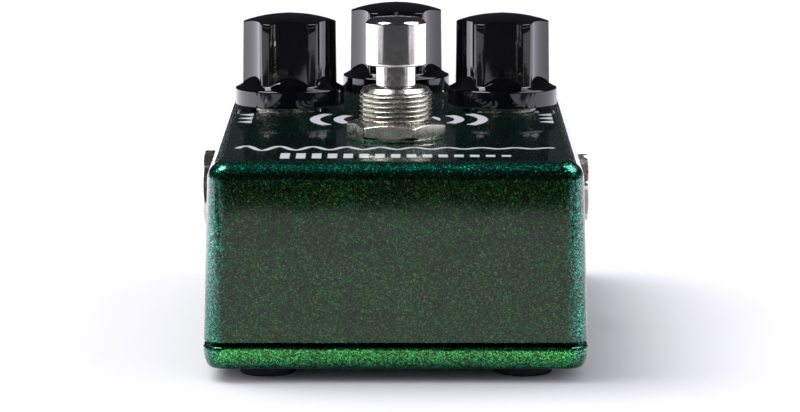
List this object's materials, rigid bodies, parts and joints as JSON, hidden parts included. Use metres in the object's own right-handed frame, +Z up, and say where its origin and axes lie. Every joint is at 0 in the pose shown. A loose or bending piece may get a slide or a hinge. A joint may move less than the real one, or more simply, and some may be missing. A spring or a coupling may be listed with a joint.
{
  "type": "guitar effects pedal",
  "caption": "Compact stompbox with a sprung footswitch, fluted knobs, side jack sockets, screwed-on cover and rubber feet.",
  "frame": {"origin": "on the floor under the middle of the box, at the feet's lower face", "axes": "+Z up, +Y from the footswitch end to the far end, +X towards the input and power side"},
  "size_m": [0.0654, 0.1122, 0.0546],
  "materials": {
    "body_paint": "deep green metal-flake paint under clear lacquer",
    "cover_paint": "green metal-flake paint under clear lacquer",
    "zinc": "zinc-plated steel",
    "rubber": "matte black rubber",
    "switch_plastic": "moulded blue plastic",
    "nickel": "bright nickel plating with slight pitting",
    "plunger_nickel": "turned and nickel-plated, fine speckle",
    "spring_steel": "bright spring wire",
    "shaft_metal": "turned aluminium",
    "can_metal": "tinned sheet steel",
    "contact_metal": "tinned brass leaf",
    "knob_black": "polished black moulding",
    "black_plastic": "moulded black plastic",
    "button_black": "semi-gloss black plastic",
    "circuit_board": "green solder mask over glass fibre",
    "chip_black": "moulded epoxy",
    "capacitor_blue": "shrink sleeve",
    "capacitor_red": "dipped epoxy",
    "trimmer_blue": "moulded blue plastic",
    "trimmer_white": "moulded white plastic",
    "led_lens": "clear lens, unlit",
    "bezel_chrome": "bright chrome collar",
    "battery_wrap": "plain dark wrap",
    "ribbon_grey": "grey ribbon cable",
    "wire_red": "red insulation",
    "wire_black": "black insulation",
    "foam_grey": "open-cell foam"
  },
  "bodies": {
    "root": {"enclosure": "body_paint", "bottom_cover": "cover_paint", "cover_screws": "zinc", "rubber_feet": "rubber", "footswitch_case": "switch_plastic", "footswitch_bushing": "nickel", "footswitch_nut": "nickel", "footswitch_washer": "nickel", "footswitch_lock_washer": "zinc", "footswitch_lugs": "contact_metal", "footswitch_spring": "spring_steel", "footswitch_board": "circuit_board", "footswitch_ribbon": "ribbon_grey", "pot_left": "can_metal", "pot_right": "can_metal", "pot_rear": "can_metal", "pot_nuts": "nickel", "pot_washers": "nickel", "pot_terminals": "contact_metal", "input_jack_body": "black_plastic", "output_jack_body": "black_plastic", "input_jack_sleeve": "nickel", "output_jack_sleeve": "nickel", "jack_nuts": "nickel", "jack_washers": "nickel", "input_jack_contacts": "contact_metal", "output_jack_contacts": "contact_metal", "power_jack_body": "black_plastic", "power_jack_pin": "nickel", "power_jack_spring": "contact_metal", "main_board": "circuit_board", "chips": "chip_black", "electrolytic_capacitors": "capacitor_blue", "film_capacitors": "capacitor_red", "trimmer_bodies": "trimmer_blue", "led": "led_lens", "led_bezel": "bezel_chrome", "mod_switch_body": "black_plastic", "battery": "battery_wrap", "battery_terminals": "nickel", "battery_snap": "black_plastic", "battery_lead_red": "wire_red", "battery_lead_black": "wire_black", "battery_foam": "foam_grey"},
    "plunger": {"footswitch_plunger": "plunger_nickel"},
    "left_control": {"knob_left": "knob_black", "set_screw_left": "zinc", "shaft_left": "shaft_metal"},
    "right_control": {"knob_right": "knob_black", "set_screw_right": "zinc", "shaft_right": "shaft_metal"},
    "rear_control": {"knob_rear": "knob_black", "set_screw_rear": "zinc", "shaft_rear": "shaft_metal"},
    "mod_push": {"mod_button": "button_black"},
    "rate_trimmer": {"trimmer_rotor_rate": "trimmer_white"},
    "width_trimmer": {"trimmer_rotor_width": "trimmer_white"}
  },
  "joints": [
    {"name": "footswitch_press", "type": "slide", "parent": "root", "child": "plunger", "axis": [0, 0, -1], "range_m": [0, 0.0028], "stiffness_N_per_m": 3000, "springref_m": -0.002, "deforming": ["footswitch_spring"]},
    {"name": "left_knob_turn", "type": "hinge", "parent": "root", "child": "left_control", "pos_m": [-0.0184, 0.0196, 0.0348], "axis": [0, 0, 1], "range_deg": [-150, 150]},
    {"name": "right_knob_turn", "type": "hinge", "parent": "root", "child": "right_control", "pos_m": [0.0184, 0.0196, 0.0348], "axis": [0, 0, 1], "range_deg": [-150, 150]},
    {"name": "rear_knob_turn", "type": "hinge", "parent": "root", "child": "rear_control", "pos_m": [0, 0.0396, 0.0348], "axis": [0, 0, 1], "range_deg": [-150, 150]},
    {"name": "mod_button_press", "type": "slide", "parent": "root", "child": "mod_push", "axis": [0, 0, -1], "range_m": [0, 0.0018], "stiffness_N_per_m": 800, "springref_m": -0.001},
    {"name": "rate_trimmer_turn", "type": "hinge", "parent": "root", "child": "rate_trimmer", "pos_m": [-0.004, 0.033, 0.0125], "axis": [0, 0, 1], "range_deg": [-105, 105]},
    {"name": "width_trimmer_turn", "type": "hinge", "parent": "root", "child": "width_trimmer", "pos_m": [-0.021, 0.041, 0.0125], "axis": [0, 0, 1], "range_deg": [-105, 105]}
  ]
}
